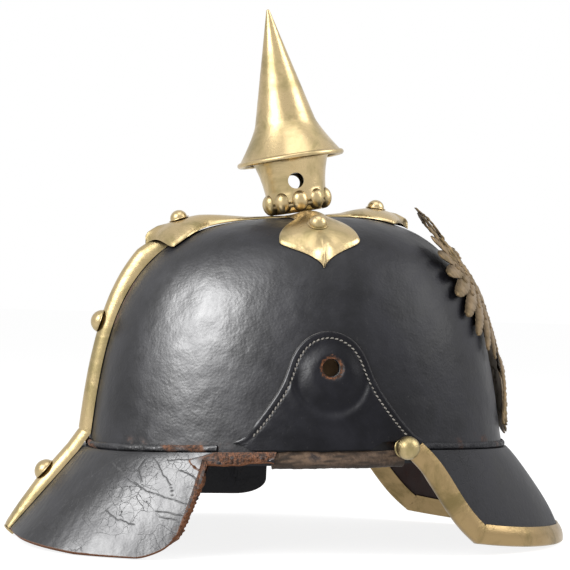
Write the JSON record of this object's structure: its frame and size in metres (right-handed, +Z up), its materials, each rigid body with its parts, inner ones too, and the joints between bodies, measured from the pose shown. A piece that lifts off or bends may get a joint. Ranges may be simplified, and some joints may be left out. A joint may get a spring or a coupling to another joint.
{
  "type": "pickelhaube",
  "caption": "Old leather spiked helmet with brass spike, pearled neck, cross, spine, peak trim and eagle plate. The spike screws out of its neck.",
  "frame": {"origin": "on the floor, under the middle of the helmet's length and width as it stands on peak and neck guard", "axes": "the wearer looks along -Y, +X is the wearer's left, +Z is up"},
  "size_m": [0.2026, 0.3027, 0.2835],
  "materials": {
    "black_leather": "worn black lacquer, satin, with fine cracks",
    "brown_leather": "bare worn leather, matt",
    "lining": "dark red-brown dyed leather, matt",
    "pale_leather": "tan leather, matt",
    "brass": "old brass, satin, lightly tarnished",
    "old_bronze": "dark old brass with dark recesses"
  },
  "bodies": {
    "helmet": {"skull": "black_leather", "side_patch_right": "black_leather", "side_patch_left": "black_leather", "front_peak": "black_leather", "front_peak_lining": "lining", "front_peak_trim": "brass", "neck_guard": "black_leather", "front_welt": "black_leather", "rear_welt": "black_leather", "rim_binding_right": "brown_leather", "rim_binding_left": "brown_leather", "rear_spine": "brass", "spine_studs": "brass", "spine_nuts": "brass", "cross_base": "brass", "base_studs": "brass", "base_nuts": "brass", "spike_neck": "brass", "pearl_ring": "brass", "neck_bridge": "brass", "eagle_plate": "old_bronze", "plate_loops": "brass", "plate_wedges": "brown_leather", "ball_studs": "brass", "ball_stud_nuts": "brass", "crown_disc": "brown_leather", "sweatband": "pale_leather", "liner_tongues": "pale_leather"},
    "spike_screw": {"spike_screw": "brass"},
    "spike": {"spike_cone": "brass", "cone_floor": "brass"}
  },
  "joints": [
    {"name": "spike_lift", "type": "slide", "parent": "helmet", "child": "spike_screw", "axis": [0, 0.1822, 0.9833], "range_m": [0, 0.00675]},
    {"name": "spike_turn", "type": "hinge", "parent": "spike_screw", "child": "spike", "pos_m": [0, 0.00444, 0.20351], "axis": [0, 0.1822, 0.9833], "range_deg": [0, 1620]}
  ],
  "couplings": [
    {"joint": "spike_lift", "follows": "spike_turn", "m_per_rad": 0.00023873}
  ]
}
